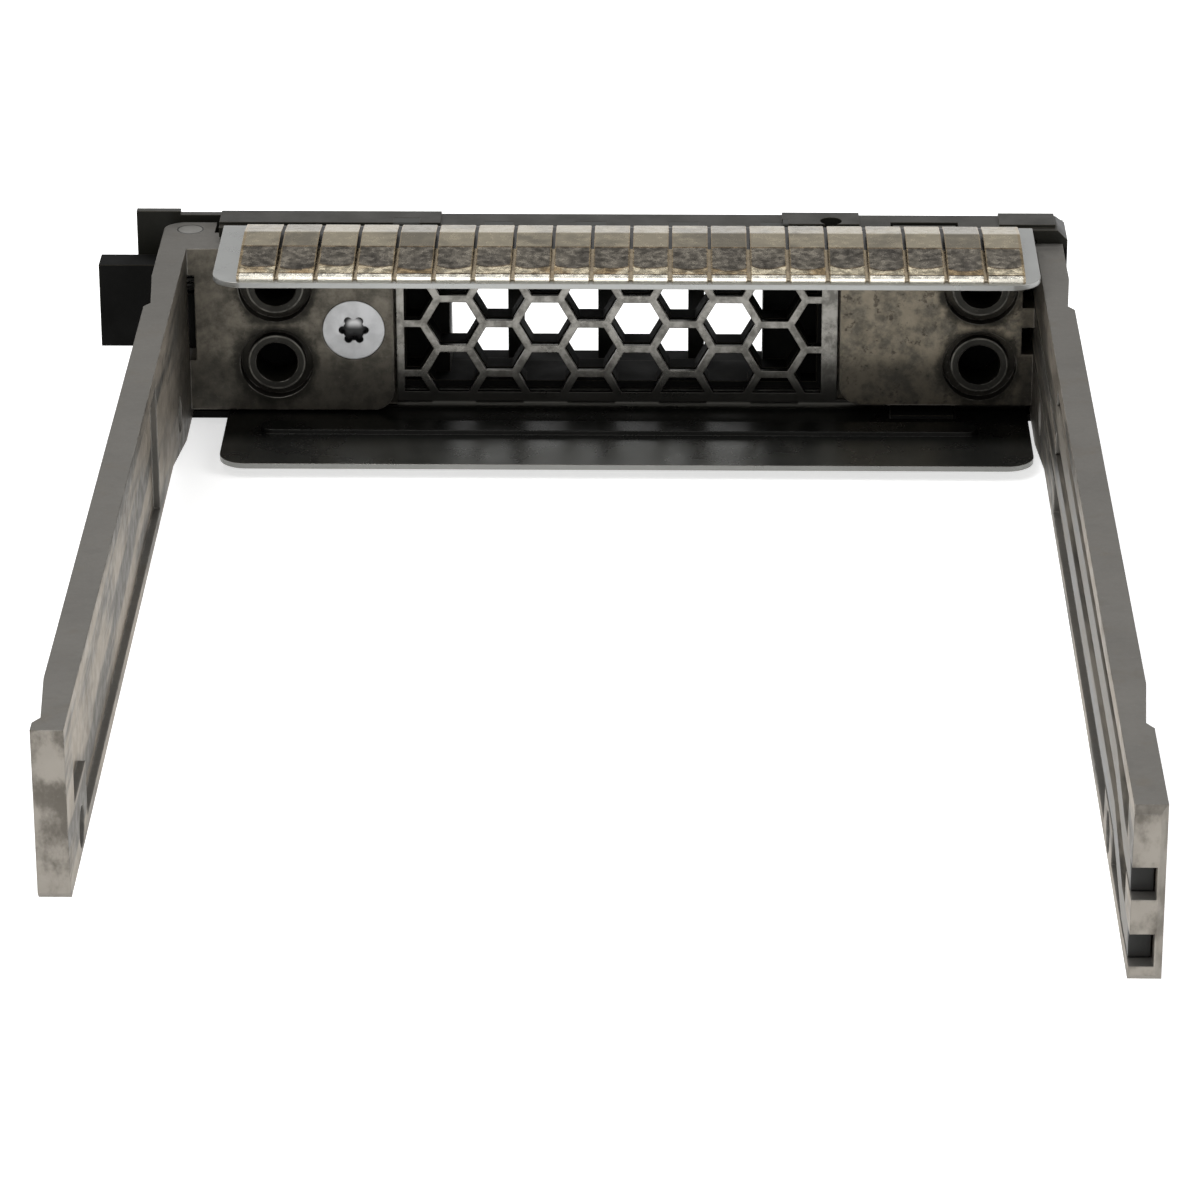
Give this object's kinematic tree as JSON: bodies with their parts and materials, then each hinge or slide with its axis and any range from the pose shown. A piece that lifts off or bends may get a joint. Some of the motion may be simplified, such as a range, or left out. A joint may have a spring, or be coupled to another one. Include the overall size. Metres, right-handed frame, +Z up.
{
  "type": "hot swap drive caddy",
  "caption": "Tray that carries one 2.5 inch drive between two side rails, with a vented front wall, a grounding shield, a hinged handle and a sprung catch.",
  "frame": {"origin": "middle of the plane that the drive's front end stops on, level with the rails' underside", "axes": "+X across the tray, towards the rail with the light pipes; +Y out of the server's front; +Z up"},
  "size_m": [0.0806, 0.1149, 0.0186],
  "materials": {
    "die_casting": "satin grey coating on a die casting, stained and rubbed on the inner faces",
    "shield_steel": "thin stainless sheet, stamped, soft brushed",
    "finger_metal": "tin plated spring bronze, pale beige with a soft sheen",
    "black_plastic": "black moulded plastic, fine texture",
    "screw_steel": "bright plated steel",
    "pin_steel": "ground steel",
    "spring_steel": "drawn spring wire",
    "light_pipe": "clear moulded acrylic, clouded"
  },
  "bodies": {
    "tray": {"tray_frame": "die_casting", "emi_shield": "shield_steel", "finger_strip": "finger_metal", "front_bezel": "black_plastic", "bezel_screw": "screw_steel", "pivot_pin": "pin_steel", "lower_light_pipe": "light_pipe", "upper_light_pipe": "light_pipe", "handle_spring": "spring_steel", "button_spring": "spring_steel"},
    "handle": {"handle_lever": "black_plastic"},
    "button": {"release_button": "black_plastic"}
  },
  "joints": [
    {"name": "handle_hinge", "type": "hinge", "parent": "tray", "child": "handle", "pos_m": [-0.0352, 0.0048, 0.006], "axis": [0, 0, 1], "range_deg": [0, 45], "deforming": ["handle_spring"]},
    {"name": "button_slide", "type": "slide", "parent": "tray", "child": "button", "axis": [1, 0, 0], "range_m": [0, 0.0015], "stiffness_N_per_m": 400, "deforming": ["button_spring"]}
  ]
}
